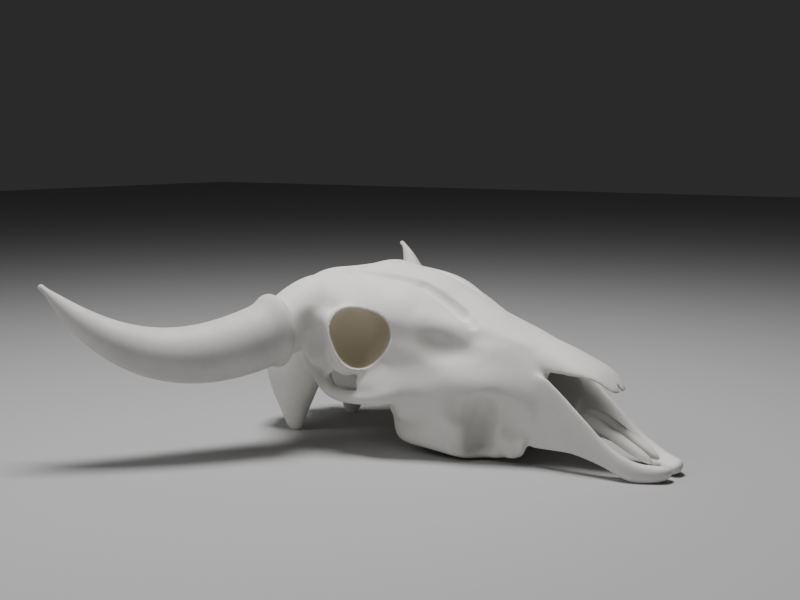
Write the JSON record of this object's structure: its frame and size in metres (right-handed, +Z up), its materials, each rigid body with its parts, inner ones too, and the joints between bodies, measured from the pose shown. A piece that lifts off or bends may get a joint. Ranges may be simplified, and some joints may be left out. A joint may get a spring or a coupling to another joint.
{
  "type": "cow skull replica",
  "caption": "Life-size cow skull without its lower jaw, with two long curved horns, as a plain white display model that rests on its snout and rear processes.",
  "frame": {"origin": "on the floor under the middle of the whole skull with its horns", "axes": "+X towards the animal's left horn tip, -Y towards the nose, +Z up"},
  "size_m": [0.659, 0.5674, 0.1997],
  "materials": {
    "nasal_left": "matte white with faint grain",
    "nasal_right": "matte white with faint grain",
    "premaxilla_left": "matte white with faint grain",
    "premaxilla_right": "matte white with faint grain",
    "zygomatic_arch_left": "matte white with faint grain",
    "zygomatic_arch_right": "matte white with faint grain",
    "orbit_left": "matte white with faint grain",
    "orbit_right": "matte white with faint grain",
    "maxilla_left": "matte white with faint grain",
    "maxilla_right": "matte white with faint grain",
    "horn_pedicle_left": "matte white with faint grain",
    "horn_pedicle_right": "matte white with faint grain",
    "jugular_process_left": "matte white with faint grain",
    "jugular_process_right": "matte white with faint grain",
    "occipital_condyle_left": "matte white with faint grain",
    "occipital_condyle_right": "matte white with faint grain",
    "horn_left": "matte white with faint grain, smoother along the horn",
    "horn_right": "matte white with faint grain, smoother along the horn",
    "forehead": "matte white with faint grain",
    "braincase": "matte white with faint grain"
  },
  "bodies": {
    "root": {"nasal_left": "nasal_left", "nasal_right": "nasal_right", "premaxilla_left": "premaxilla_left", "premaxilla_right": "premaxilla_right", "zygomatic_arch_left": "zygomatic_arch_left", "zygomatic_arch_right": "zygomatic_arch_right", "orbit_left": "orbit_left", "orbit_right": "orbit_right", "maxilla_left": "maxilla_left", "maxilla_right": "maxilla_right", "horn_pedicle_left": "horn_pedicle_left", "horn_pedicle_right": "horn_pedicle_right", "jugular_process_left": "jugular_process_left", "jugular_process_right": "jugular_process_right", "occipital_condyle_left": "occipital_condyle_left", "occipital_condyle_right": "occipital_condyle_right", "horn_left": "horn_left", "horn_right": "horn_right", "forehead": "forehead", "braincase": "braincase"}
  },
  "joints": []
}
